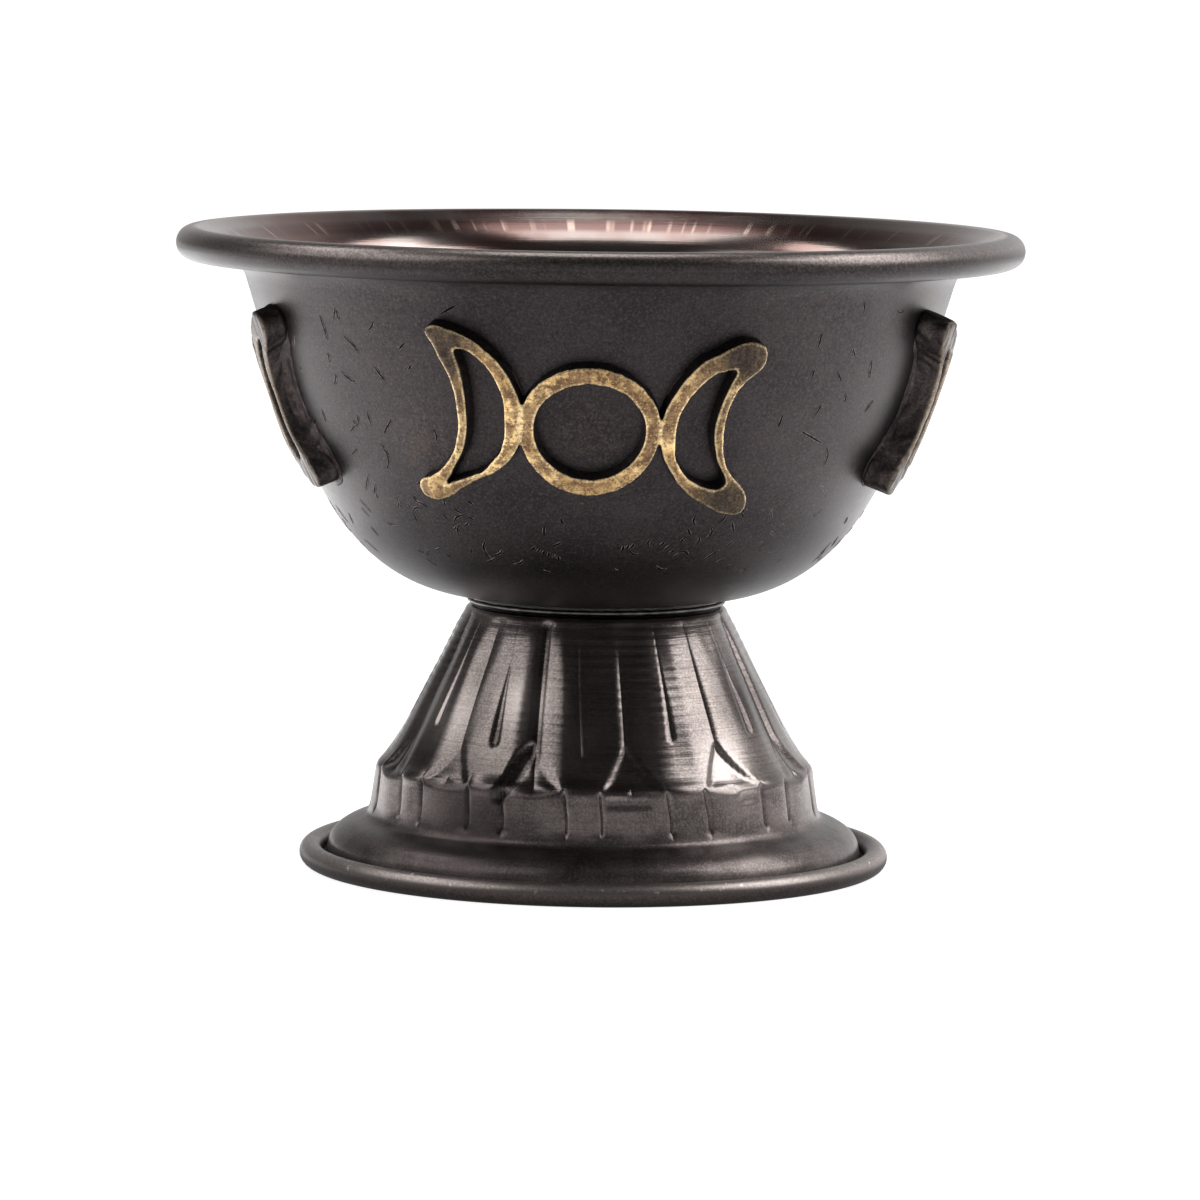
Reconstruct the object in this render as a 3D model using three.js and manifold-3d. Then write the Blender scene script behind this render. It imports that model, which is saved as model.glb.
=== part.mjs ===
// A ritual chalice: a spun copper bowl with a curled rim, soldered on a fluted foot of thinner sheet.
// Four cast badges, each a full moon between two crescents, are soldered round the wall of the bowl.
// Millimetres, +Z up. The chalice stands on z = 0 and its front faces -Y.
import * as THREE from 'three';
import { mergeVertices } from 'three/addons/utils/BufferGeometryUtils.js';
import Module from 'manifold-3d';

const wasm = await Module();
wasm.setup();

// Bowl: spun from one disc of sheet. The diameters are of its outer face, and angles are in degrees.
const overallHeight = 77;
const rimDiameter = 102;
const rimBeadDiameter = 3.9;
const rimCurlGap = 0.5;
const bowlWall = 0.9;
const bowlFloorDiameter = 24;
const floorBend = 19.5;
const wallBend = 23.5;
const throatInset = 8.4;
const throatDepth = 6;
const throatLean = 17;
const flareBend = 2.3;
const flangeBend = 2.8;
const flangeRise = 30;

// Foot: pressed and spun from one disc. Its land is the narrow flat ring that it stands on.
const footHeight = 31.6;
const footTopDiameter = 31.8;
const footWall = 0.7;
const footEdge = 0.5;
const shoulderRise = 2.7;
const shoulderDiameter = 48.9;
const bandRise = 5.9;
const bandDiameter = 53;
const flangeHeight = 6;
const flangeDiameter = 55.2;
const flangeHollow = 1.3;
const baseDiameter = 71.4;
const baseBeadDiameter = 3.2;
const baseCurlHook = 45;
const baseGrooveTurn = 45;
const baseLandDepth = 0.08;

// Flutes of the foot: tongues between creases, then a band of narrow and wide panels.
const fluteCount = 13;
const fluteDepth = 0.8;
const fluteTurn = -8.4;
const fluteTwist = 0.31;
const apexRise = 2.4;
const recessDepth = 0.7;
const panelShare = 0.36;
const panelGroove = 0.45;

// Badges: one casting each, bent to the bowl. The middle of the moon is a badge's depth below the rim.
const badgeCount = 4;
const badgeTurn = -1.4;
const badgeDepth = 21.25;
const badgeThickness = 2.2;
const moonDiameter = 16.2;
const moonBar = 1.9;
const crescentLap = 0.35;

// Joints: a seam is the clearance between two pieces that solder holds together.
const seam = 0.3;
const neckSolderHeight = 0.4;
const neckSolderWidth = 3.6;
const badgeSolderHeight = 0.3;
const badgeSolderWidth = 1;

// Crescents, as points anticlockwise round their edges: to the right of where each laps the moon, and up.
const leftCrescent = [
	[-9.7, 12.5], [-10.4, 11.6], [-8.2, 6.4], [-7.8, 2], [-8.8, -2.7], [-11.3, -5.5],
	[-14.7, -7], [-14.4, -8.8], [-11.3, -9], [-6.7, -6.5], [-2.4, -4.2], [-0.3, -1.4],
	[0.1, 2.2], [-1.6, 7.2], [-5.5, 11.1],
];
const leftCrescentWindow = [
	[-7.2, 9.6], [-4.2, 8.1], [-2.2, 3.9], [-2.5, -1.2], [-4.3, -4.2], [-8.7, -6.5],
	[-7.8, -2.9], [-6.7, 2],
];
const rightCrescent = [
	[10.6, 10.8], [6.5, 9.6], [2.9, 6.6], [0.1, 1.6], [0.7, -3.1], [3.5, -6.9],
	[7.5, -9.5], [11.3, -10.7], [12.9, -9.4], [11.6, -6.9], [9.2, -4.6], [8.1, -0.8],
	[8.3, 3], [9.8, 6], [11.9, 9.2],
];
const rightCrescentWindow = [
	[8.4, 7.5], [5.2, 6.4], [2.9, 3], [2.4, -1.4], [3.5, -5], [8.2, -7.2],
	[8.1, -4.2], [6.8, -0.2], [7.5, 3.9],
];

const bowlSegments = 48;
const rimCurlSteps = 9;
const baseCurlSteps = 6;
const edgeSteps = 26;
const moonSteps = 30;
const filmSteps = 28;

// Samples across one repeat of the flutes, from one tongue's middle line to the next.
const panelSide = panelShare / 2;
const foldSide = (panelSide + 0.5) / 2;
const fluteSamples = [0, panelSide, foldSide, 0.5, 1 - foldSide, 1 - panelSide];

const darkCopper = { color: 0x2f2826, roughness: 0.42, metalness: 0.9 };
const polishedCopper = { color: 0x3a302c, roughness: 0.3, metalness: 0.95 };
const wornBrass = { color: 0x8f713a, roughness: 0.4, metalness: 0.9 };
const greySolder = { color: 0x8c8580, roughness: 0.4, metalness: 0.9 };

const radians = THREE.MathUtils.degToRad;
const { lerp, smoothstep } = THREE.MathUtils;
const at = (x, y) => new THREE.Vector2(x, y);
const polar = (centre, radius, angle) =>
	at(centre.x + radius * Math.cos(radians(angle)), centre.y + radius * Math.sin(radians(angle)));
const angleOff = (near, far) => THREE.MathUtils.radToDeg(Math.acos(near / far));

function piece(name, geometry, finish) {
	const mesh = new THREE.Mesh(geometry, new THREE.MeshStandardMaterial(finish));
	mesh.name = name;
	return mesh;
}

function welded(geometry) {
	geometry.deleteAttribute('normal');
	geometry.deleteAttribute('uv');
	return mergeVertices(geometry, 1e-4);
}

// A profile of (radius, height) points turned about Z.
function turned(profile, segments) {
	return welded(new THREE.LatheGeometry(profile, segments).rotateX(Math.PI / 2));
}

function arc(centre, radius, start, turn, steps) {
	return Array.from({ length: steps + 1 }, (_, i) => polar(centre, radius, start + (turn * i) / steps));
}

// The line that runs beside a line of points, at a distance to its left.
function beside(line, distance) {
	return line.map((point, i) => {
		const before = point.clone().sub(line[Math.max(i - 1, 0)]).normalize();
		const after = line[Math.min(i + 1, line.length - 1)].clone().sub(point).normalize();
		const along = before.add(after).normalize();
		const bend = i === 0 || i === line.length - 1 ? 1 : Math.abs(along.dot(after));
		return point.clone().add(at(-along.y, along.x).multiplyScalar(distance / bend));
	});
}

// The bowl's outer face as a line: its floor, its wall, and the flare that ends where the curl starts.
const bowlFloorHeight = footHeight + seam + neckSolderHeight + seam;
const rimBead = at((rimDiameter - rimBeadDiameter) / 2, overallHeight - rimBeadDiameter / 2);
const rimCurlRadius = rimBeadDiameter / 2 - bowlWall;
const floorEdge = at(bowlFloorDiameter / 2, bowlFloorHeight);
const throat = at(rimDiameter / 2 - throatInset, overallHeight - throatDepth);
const throatWay = polar(at(0, 0), 1, 90 - throatLean);
const flangeWay = polar(at(0, 0), 1, flangeRise);
const flangeEnd = polar(rimBead, rimCurlRadius, 90 + flangeRise);
const wallCurve = new THREE.CubicBezierCurve(
	floorEdge,
	at(floorEdge.x + floorBend, floorEdge.y),
	throat.clone().addScaledVector(throatWay, -wallBend),
	throat
);
const flareCurve = new THREE.CubicBezierCurve(
	throat,
	throat.clone().addScaledVector(throatWay, flareBend),
	flangeEnd.clone().addScaledVector(flangeWay, -flangeBend),
	flangeEnd
);

function bowl() {
	const curlTurn = 360 - angleOff(rimCurlRadius - rimCurlGap, rimBeadDiameter / 2);
	const outside = [
		at(0, bowlFloorHeight),
		...wallCurve.getSpacedPoints(10),
		...flareCurve.getPoints(4).slice(1),
		...arc(rimBead, rimCurlRadius, 90 + flangeRise, -curlTurn, rimCurlSteps).slice(1),
	];
	return piece('bowl', turned([...outside, ...beside(outside, bowlWall).reverse()], bowlSegments), darkCopper);
}

// The heights of the foot's band, of the shoulder over it, and of the points where the creases fork.
const bandHeight = flangeHeight + bandRise;
const shoulderHeight = bandHeight + shoulderRise;
const apexHeight = shoulderHeight + apexRise;

// How deep the foot's sheet is pressed in. A share counts repeats from the middle line of a tongue.
function fluteRelief(share, height) {
	const side = Math.abs(share - Math.round(share)) * 2;
	const climb = (height - bandHeight) / (apexHeight - bandHeight);
	if (climb >= 1) {
		const belowTop = 1 - smoothstep(height, apexHeight, footHeight - footWall - footEdge);
		return fluteDepth * Math.sqrt(belowTop) * side ** 2;
	}
	if (climb > 0) return side + 0.01 > lerp(panelShare, 1, climb) ? recessDepth : 0;
	const inGroove = Math.abs(side - panelShare) < 0.01 && height > flangeHeight;
	return inGroove ? panelGroove : 0;
}

// Presses the flutes into the plain turned foot, and twists them a little as they run down.
function pressFlutes(geometry) {
	const place = geometry.getAttribute('position');
	const samples = fluteSamples.length;
	for (let i = 0; i < place.count; i++) {
		const radius = Math.hypot(place.getX(i), place.getY(i));
		const height = place.getZ(i);
		const turn = Math.atan2(place.getX(i), -place.getY(i)) / (2 * Math.PI) + 1;
		const sample = Math.round(turn * fluteCount * samples);
		const share = Math.floor(sample / samples) + fluteSamples[sample % samples];
		const azimuth = radians((share * 360) / fluteCount + fluteTurn + fluteTwist * (footHeight - height));
		const pressed = radius - fluteRelief(share, height);
		place.setXY(i, pressed * Math.sin(azimuth), -pressed * Math.cos(azimuth));
	}
	return geometry;
}

function foot() {
	const top = at(footTopDiameter / 2, footHeight - footEdge);
	const shoulder = at(shoulderDiameter / 2, shoulderHeight);
	const cone = new THREE.LineCurve(top, shoulder);
	const apexShare = (top.y - apexHeight) / (top.y - shoulderHeight);
	const bandTop = at(bandDiameter / 2, bandHeight);
	const bandFoot = at(flangeDiameter / 2, flangeHeight);
	const bead = at((baseDiameter - baseBeadDiameter) / 2, baseBeadDiameter / 2 - baseLandDepth);
	const beadRadius = baseBeadDiameter / 2;
	const groove = 90 + baseGrooveTurn;
	const land = angleOff(beadRadius - baseLandDepth, beadRadius);
	const valley = polar(bead, beadRadius, groove);
	const hollow = at(bandFoot.x + flangeHollow, bandFoot.y - flangeHollow);
	const outside = [
		at(0, footHeight),
		at(top.x - footEdge, footHeight),
		...[0, 0.3, 0.65, apexShare, 1].map((share) => cone.getPoint(share)),
		at(bandTop.x, bandTop.y + footEdge),
		at(lerp(bandTop.x, bandFoot.x, 0.1), lerp(bandTop.y, bandFoot.y, 0.1)),
		...new THREE.QuadraticBezierCurve(bandFoot, hollow, valley).getPoints(3),
		...arc(bead, beadRadius, groove, land - 90 - groove, baseCurlSteps).slice(1),
		...arc(bead, beadRadius, -90 - land, -baseCurlHook, 2),
	];
	const inside = beside(outside, -footWall);
	const plain = turned([...inside, ...outside.reverse()], fluteCount * fluteSamples.length);
	return piece('foot', pressFlutes(plain), polishedCopper);
}

// A flat ring of solder where the bowl sits on the foot. It shows as the thin pale line at the neck.
function neckSolder() {
	const outer = footTopDiameter / 2 - footEdge;
	const inner = outer - neckSolderWidth;
	const low = footHeight + seam;
	const high = low + neckSolderHeight;
	const section = [at(inner, low), at(outer, low), at(outer, high), at(inner, high), at(inner, low)];
	return piece('neck_solder', turned(section, bowlSegments), greySolder);
}

function toSolid(geometry) {
	const plain = welded(geometry);
	const vertProperties = new Float32Array(plain.getAttribute('position').array);
	const triVerts = new Uint32Array(plain.getIndex().array);
	return new wasm.Manifold(new wasm.Mesh({ numProp: 3, vertProperties, triVerts }));
}

function toGeometry(solid) {
	const { vertProperties, triVerts } = solid.getMesh();
	const geometry = new THREE.BufferGeometry();
	geometry.setAttribute('position', new THREE.BufferAttribute(vertProperties, 3));
	return geometry.setIndex(new THREE.BufferAttribute(triVerts, 1));
}

// A smooth closed edge through the points of a crescent on one side of the moon: -1 left or 1 right.
function smoothEdge(points, side) {
	const lap = side * (moonDiameter / 2 - crescentLap);
	const knots = points.map(([x, y]) => new THREE.Vector3(lap + x, y, 0));
	return new THREE.CatmullRomCurve3(knots, true).getSpacedPoints(edgeSteps).slice(1);
}

function circle(diameter, steps = moonSteps) {
	return arc(at(0, 0), diameter / 2, 0, 360, steps).slice(1);
}

// A flat piece of a badge: its edge and window, from one height over the bowl to another.
function plate(edge, window, low, high) {
	const shape = new THREE.Shape(edge);
	shape.holes.push(new THREE.Path(window));
	return new THREE.ExtrudeGeometry(shape, { depth: high - low, bevelEnabled: false }).translate(0, 0, low);
}

// The share of the wall's length at which it reaches a height.
function shareAtHeight(height) {
	let [low, high] = [0, 1];
	for (let i = 0; i < 30; i++) {
		const middle = (low + high) / 2;
		if (wallCurve.getPointAt(middle).y < height) low = middle;
		else high = middle;
	}
	return low;
}

// Bends a flat piece to the bowl: x runs round it, y up its wall, and z stands off its outer face.
function bent(geometry, azimuth) {
	const place = geometry.getAttribute('position');
	const length = wallCurve.getLength();
	const middle = shareAtHeight(overallHeight - badgeDepth);
	const faceRadius = wallCurve.getPointAt(middle).x + seam + badgeThickness;
	for (let i = 0; i < place.count; i++) {
		const share = middle + place.getY(i) / length;
		const way = wallCurve.getTangentAt(share);
		const point = wallCurve.getPointAt(share).addScaledVector(at(way.y, -way.x), place.getZ(i));
		const angle = radians(azimuth) + place.getX(i) / faceRadius;
		place.setXYZ(i, point.x * Math.sin(angle), -point.x * Math.cos(angle), point.y);
	}
	return geometry;
}

// One casting. The moon's back is relieved, and the solder that holds the badge fills the relief.
function badge(name, azimuth) {
	const face = seam + badgeThickness;
	const moonBack = seam + badgeSolderHeight + seam;
	const moon = plate(circle(moonDiameter), circle(moonDiameter - 2 * moonBar), moonBack, face);
	const left = plate(smoothEdge(leftCrescent, -1), smoothEdge(leftCrescentWindow, -1), seam, face);
	const right = plate(smoothEdge(rightCrescent, 1), smoothEdge(rightCrescentWindow, 1), seam, face);
	const casting = toSolid(moon).add(toSolid(left)).add(toSolid(right));
	return piece(name, bent(toGeometry(casting), azimuth), wornBrass);
}

function badgeSolder(name, azimuth) {
	const middle = moonDiameter - moonBar;
	const edge = circle(middle + badgeSolderWidth, filmSteps);
	const window = circle(middle - badgeSolderWidth, filmSteps);
	const film = plate(edge, window, seam, seam + badgeSolderHeight);
	return piece(name, bent(toGeometry(toSolid(film)), azimuth), greySolder);
}

const chalice = new THREE.Group();
chalice.add(bowl(), foot(), neckSolder());
const sides = badgeCount === 4 ? ['front', 'right', 'back', 'left'] : [];
for (let i = 0; i < badgeCount; i++) {
	const azimuth = badgeTurn + (i * 360) / badgeCount;
	const side = sides[i] ?? i + 1;
	chalice.add(badge(`triple_moon_${side}`, azimuth), badgeSolder(`moon_solder_${side}`, azimuth));
}

export default chalice;
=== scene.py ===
# A ritual chalice: a dark spun copper bowl soldered on a fluted foot, with four cast brass badges.
# The studio comes first, and then the pieces in the order in which a smith puts them together.
import math

import bmesh
import bpy
import numpy as np
from mathutils import Matrix, Vector


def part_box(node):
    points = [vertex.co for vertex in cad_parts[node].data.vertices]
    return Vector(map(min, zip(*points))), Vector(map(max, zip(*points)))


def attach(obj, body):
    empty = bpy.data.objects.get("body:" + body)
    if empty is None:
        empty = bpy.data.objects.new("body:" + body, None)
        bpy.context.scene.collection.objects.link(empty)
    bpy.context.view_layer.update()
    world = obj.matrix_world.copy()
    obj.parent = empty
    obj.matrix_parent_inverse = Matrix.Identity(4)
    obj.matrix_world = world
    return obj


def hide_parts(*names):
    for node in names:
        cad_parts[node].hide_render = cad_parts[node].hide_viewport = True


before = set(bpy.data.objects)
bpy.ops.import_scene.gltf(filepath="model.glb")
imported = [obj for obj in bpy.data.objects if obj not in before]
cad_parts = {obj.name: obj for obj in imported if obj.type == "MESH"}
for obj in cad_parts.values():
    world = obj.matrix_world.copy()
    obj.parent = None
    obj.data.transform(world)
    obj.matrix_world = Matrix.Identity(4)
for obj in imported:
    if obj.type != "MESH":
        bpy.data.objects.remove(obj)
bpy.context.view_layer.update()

scene = bpy.context.scene
scene.view_settings.view_transform = "Standard"

# Camera: a long lens about 40 mm above the rim, aimed down at the neck.
# It was held a little out of level, so the right side of the bowl sits lower in the picture.
camera_distance = 0.7715
camera_height = 0.1171
camera_pitch = 6.285
camera_roll = 0.72
lens_to_width = 6410.4 / 1200
picture_shift = 0.0030


def new_object(name, data):
    """A new object in the scene."""
    made = bpy.data.objects.new(name, data)
    scene.collection.objects.link(made)
    return made


camera = new_object("camera", bpy.data.cameras.new("camera"))
camera.data.sensor_width = 36
camera.data.lens = camera.data.sensor_width * lens_to_width
camera.data.shift_x = picture_shift
camera.data.clip_start = 0.05
tip = Matrix.Rotation(math.radians(90 - camera_pitch), 4, "X")
roll = Matrix.Rotation(math.radians(camera_roll), 4, "Z")
camera.matrix_world = Matrix.Translation((0, -camera_distance, camera_height)) @ tip @ roll
scene.camera = camera


# Lamps: a softbox on each side, one overhead, two high up behind the chalice, and a low reflector on each
# side of the table. The room behind the camera is dim, so the front stays dark between the lamps.
class Wire:
    """An output of a shader node, which can be used in sums."""

    def __init__(self, finish, socket):
        self.finish = finish
        self.socket = socket

    def maths(self, operation, *values):
        return self.finish.node("ShaderNodeMath", {"operation": operation}, dict(enumerate(values)))

    def __add__(self, other):
        return self.maths("ADD", self, other)

    def __radd__(self, other):
        return self.maths("ADD", other, self)

    def __sub__(self, other):
        return self.maths("SUBTRACT", self, other)

    def __rsub__(self, other):
        return self.maths("SUBTRACT", other, self)

    def __mul__(self, other):
        return self.maths("MULTIPLY", self, other)

    def __rmul__(self, other):
        return self.maths("MULTIPLY", other, self)

    def larger(self, other):
        return self.maths("MAXIMUM", self, other)

    def rise(self, low, high):
        """0 below low and 1 above high, with a smooth step between. It falls where low is above high."""
        ends = {"From Min": min(low, high), "From Max": max(low, high)}
        ends |= {"To Min": float(low > high), "To Max": float(low < high)}
        smooth = {"interpolation_type": "SMOOTHSTEP"}
        return self.finish.node("ShaderNodeMapRange", smooth, {"Value": self, **ends})

    def blend(self, first, second):
        """The first colour where this is 0 and the second where it is 1."""
        ends = {6: first, 7: second}
        ends = {name: colour(*end) if isinstance(end, tuple) else end for name, end in ends.items()}
        return self.finish.node("ShaderNodeMix", {"data_type": "RGBA"}, {0: self, **ends}, 2)


class Finish:
    """The shader nodes of a material or of the world."""

    def __init__(self, owner):
        owner.use_nodes = True
        self.owner = owner
        self.tree = owner.node_tree
        self.tree.nodes.clear()

    def node(self, kind, settings=None, inputs=None, output=0):
        made = self.tree.nodes.new(kind)
        for name, value in (settings or {}).items():
            setattr(made, name, value)
        for name, value in (inputs or {}).items():
            if isinstance(value, Wire):
                self.tree.links.new(value.socket, made.inputs[name])
            else:
                made.inputs[name].default_value = value
        return Wire(self, made.outputs[output]) if made.outputs else None

    def ray(self, kind):
        """1 for rays of a kind, such as Camera, and 0 for all others."""
        return self.node("ShaderNodeLightPath", output=f"Is {kind} Ray")

    def place(self):
        """Where a point of the piece is, in metres."""
        return self.node("ShaderNodeTexCoord", output="Object")

    def axes(self, vector):
        """The three parts of a vector."""
        parts = self.node("ShaderNodeSeparateXYZ", inputs={0: vector}).socket.node
        return [Wire(self, part) for part in parts.outputs]

    def mark(self, name):
        """The value that the mesh carries at each of its points under a name."""
        return self.node("ShaderNodeAttribute", {"attribute_name": name}, output="Fac")


def colour(red, green, blue):
    """A colour given as a screen shows it, from 0 to 255, as the light that it stands for."""
    shares = [value / 255 for value in (red, green, blue)]
    return [s / 12.92 if s < 0.04045 else ((s + 0.055) / 1.055) ** 2.4 for s in shares] + [1]


# Each lamp: where it is, what it points at, its width and height in metres, and how bright its face is.
lamps = {
    "softbox_top": ((-0.018, 0.15, 0.62), (-0.018, 0.15, 0), 0.25, 0.32, 3.0),
    "softbox_back_left": ((-0.39, 0.2, 0.6), (0, 0, 0.06), 0.23, 0.2, 3.4),
    "softbox_back_right": ((0.39, 0.2, 0.6), (0, 0, 0.06), 0.23, 0.2, 3.4),
    "softbox_left": ((-0.45, -0.12, 0.4), (0, 0, 0.03), 0.5, 0.4, 1.9),
    "softbox_right": ((0.48, -0.03, 0.42), (0, 0, 0.03), 0.36, 0.44, 4.0),
    "reflector_left": ((-0.25, 0.16, 0.001), (-0.25, 0.16, 1), 0.35, 0.48, 2.0),
    "reflector_right": ((0.25, 0.16, 0.001), (0.25, 0.16, 1), 0.35, 0.48, 1.5),
}
room_low = 0.42
room_high = 0.06
backdrop = 0.5
backdrop_slant = 0.9

for name, (place, target, width, height, bright) in lamps.items():
    lamp = bpy.data.lights.new(name, "AREA")
    lamp.shape = "RECTANGLE"
    lamp.size = width
    lamp.size_y = height
    lamp.energy = bright * math.pi * width * height
    holder = new_object(name, lamp)
    holder.location = place
    way = Vector(target) - Vector(place)
    holder.rotation_euler = way.to_track_quat("-Z", "Y").to_euler()
    holder.visible_camera = False

room = Finish(bpy.data.worlds.new("room"))
scene.world = room.owner
seen = room.ray("Camera").larger(room.ray("Transmission"))
side, behind, height = room.axes(room.node("ShaderNodeTexCoord", output="Generated"))
dim = height.rise(0.1, 0.6) * (room_high - room_low) + room_low
dim = dim + behind.rise(0.2, 0.7) * height.rise(0.8, 0.5) * (backdrop + backdrop_slant * side)
shade = room.node("ShaderNodeBackground", inputs={"Strength": seen.larger(dim)})
room.node("ShaderNodeOutputWorld", inputs={"Surface": shade})


# Floor: one white sweep that fills the picture. It glows for the camera and in the metal, and what is
# left of its own white still takes the shadow under the foot.
floor_reach = 12.0
floor_glow = 0.84
floor_white = 0.5
painted_shadow_glow = 0.12

corners = [(x * floor_reach, y * floor_reach, 0) for x, y in ((-1, -1), (1, -1), (1, 1), (-1, 1))]
floor_mesh = bpy.data.meshes.new("floor")
floor_mesh.from_pydata(corners, [], [(0, 1, 2, 3)])
floor = new_object("floor", floor_mesh)
paper = Finish(bpy.data.materials.new("white_paper"))
away = paper.node("ShaderNodeVectorMath", {"operation": "LENGTH"}, {0: paper.place()}, "Value")
seen = paper.ray("Camera").larger(paper.ray("Transmission"))
seen = seen * (floor_glow + (1 - floor_glow) * away.rise(0.2, 0.8))
# For the metal, the floor's glow is painted darker within about 50 mm of the axis, as a painted shadow round
# the foot.
metal_sees = paper.ray("Glossy") * (painted_shadow_glow + (1 - painted_shadow_glow) * away.rise(0.032, 0.052))
glow = paper.node("ShaderNodeEmission", inputs={"Strength": seen.larger(metal_sees)})
white = paper.node("ShaderNodeBsdfDiffuse", inputs={"Color": [floor_white] * 3 + [1]})
both = paper.node("ShaderNodeAddShader", inputs={0: glow, 1: white})
paper.node("ShaderNodeOutputMaterial", inputs={"Surface": both})
floor_mesh.materials.append(paper.owner)


# Bowl: one disc of copper spun over a former, its rim flared and curled back under itself into a bead.
# The outside was darkened with liver of sulphur and rubbed with a pad as it turned on the lathe, and the
# inside was polished to a red-brown gloss under the same brown.
MM = 0.001
bowl_low, bowl_high = (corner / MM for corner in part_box("bowl"))
rim_bead_radius = 1.95
bowl_wall = 0.9
curl_gap = 0.5
floor_edge = (12.0, bowl_low.z)
floor_bend = 19.5
wall_bend = 23.5
flare_bend = 2.3
flange_bend = 2.8
wall_steps, flare_steps, curl_steps = 54, 12, 36
rim_bead = (bowl_high.x - rim_bead_radius, bowl_high.z - rim_bead_radius)
throat_inset = 8.4
throat_depth = 6.0
throat = (bowl_high.x - throat_inset, bowl_high.z - throat_depth)
throat_lean = math.radians(17)
flange_rise = math.radians(30)
dent_depth = 0.022
bowl_columns = 384


def bezier(points, steps):
    """A cubic curve from the first of four points to the last."""
    t = np.linspace(0, 1, steps + 1)[:, None]
    first, second, third, last = (np.array(point, float) for point in points)
    return first * (1 - t) ** 3 + 3 * second * t * (1 - t) ** 2 + 3 * third * t**2 * (1 - t) + last * t**3


def arc(centre, radius, start, turn, steps):
    """Points round a centre, with the angles in degrees."""
    angles = np.radians(start + turn * np.linspace(0, 1, steps + 1))
    return np.array(centre) + radius * np.column_stack([np.cos(angles), np.sin(angles)])


def along(line):
    """How far along a line each of its points is."""
    return np.concatenate([[0], np.cumsum(np.linalg.norm(np.diff(line, axis=0), axis=1))])


def left_of(line):
    """The unit way to the left of a line at each of its points."""
    way = np.gradient(line, along(line), axis=0)
    way /= np.linalg.norm(way, axis=1)[:, None]
    return np.column_stack([-way[:, 1], way[:, 0]])


def ring(radii, heights, azimuths):
    """Points at these radii, heights and azimuths, which count from the front towards the right."""
    return np.stack([radii * np.sin(azimuths), -radii * np.cos(azimuths), heights + 0 * azimuths], -1)


def uneven(azimuths, lengths, seed, waves=9, finest=7):
    """A smooth random unevenness of about 1, over azimuths in radians and lengths in millimetres."""
    chance = np.random.default_rng(seed)
    total = 0
    for _ in range(waves):
        round_count = chance.integers(1, finest + 1)
        slant, shift = chance.uniform(-0.5, 0.5), chance.uniform(0, 7)
        total = total + np.sin(azimuths * round_count + lengths * slant + shift)
    return total / math.sqrt(waves)


def carry(mesh, **marks):
    """Give each point of a mesh a value under a name, which its material can read."""
    for name, values in marks.items():
        layer = mesh.attributes.new(name, "FLOAT", "POINT")
        layer.data.foreach_set("value", np.array(values, np.float32).ravel())


def skin(name, rows, poles, **marks):
    """A closed skin through rings of points in millimetres, from one pole to the other."""
    count, columns, _ = rows.shape
    points = np.concatenate([rows.reshape(-1, 3), np.array(poles, float)]) * MM
    i, j = np.meshgrid(np.arange(count - 1), np.arange(columns), indexing="ij")
    after = (j + 1) % columns
    row, next_row = i * columns, (i + 1) * columns
    sides = np.stack([row + j, row + after, next_row + after, next_row + j], -1)
    first, last = count * columns, count * columns + 1
    end = (count - 1) * columns
    caps = [(first, (k + 1) % columns, k) for k in range(columns)]
    caps += [(end + k, end + (k + 1) % columns, last) for k in range(columns)]
    mesh = bpy.data.meshes.new(name)
    mesh.from_pydata(points.tolist(), [], sides.reshape(-1, 4).tolist() + caps)
    for mark, values in marks.items():
        values = np.broadcast_to(values, (count, columns)).ravel()
        carry(mesh, **{mark: np.concatenate([values, [values[0], values[-1]]])})
    mesh.shade_smooth()
    return new_object(name, mesh)


throat_way = np.array([math.sin(throat_lean), math.cos(throat_lean)])
flange_way = np.array([math.cos(flange_rise), math.sin(flange_rise)])
curl_radius = rim_bead_radius - bowl_wall
curl_turn = 360 - math.degrees(math.acos((curl_radius - curl_gap) / rim_bead_radius))
curl_start = 90 + math.degrees(flange_rise)
flange_end = arc(rim_bead, curl_radius, curl_start, 0, 1)[0]
wall_pulls = [(floor_edge[0] + floor_bend, floor_edge[1]), throat - wall_bend * throat_way]
wall_line = bezier([floor_edge, *wall_pulls, throat], wall_steps)
flare_pulls = [throat + flare_bend * throat_way, flange_end - flange_bend * flange_way]
flare_line = bezier([throat, *flare_pulls, flange_end], flare_steps)
curl_line = arc(rim_bead, curl_radius, curl_start, -curl_turn, curl_steps)
outer_line = np.concatenate([[(4, bowl_low.z), (8, bowl_low.z)], wall_line, flare_line[1:], curl_line[1:]])
inner_line = outer_line + bowl_wall * left_of(outer_line)
curled = np.linspace(0, curl_turn, len(curl_line))[1:]
gloss = np.concatenate([np.ones(len(outer_line) - len(curled)), 1 - np.clip((curled - 15) / 25, 0, 1)])
bowl_line = np.concatenate([outer_line, inner_line[::-1]])
bowl_gloss = np.concatenate([np.zeros(len(outer_line)), gloss[::-1]])
bowl_length = along(bowl_line)

azimuths = np.linspace(0, 2 * math.pi, bowl_columns, endpoint=False)
azimuth_grid, length_grid = np.meshgrid(azimuths, bowl_length)
ways = left_of(bowl_line)
dents = dent_depth * uneven(azimuth_grid, length_grid * 0.35, seed=4)
dents[bowl_line[:, 1] < bowl_low.z + 0.3] = 0
radii = bowl_line[:, :1] + dents * ways[:, :1]
heights = bowl_line[:, 1:] + dents * ways[:, 1:]
bowl_poles = [(0, 0, bowl_low.z), (0, 0, bowl_low.z + bowl_wall)]
bowl = skin(
    "bowl_shell", ring(radii, heights, azimuth_grid), bowl_poles,
    length=length_grid, gloss=bowl_gloss[:, None],
)


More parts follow.
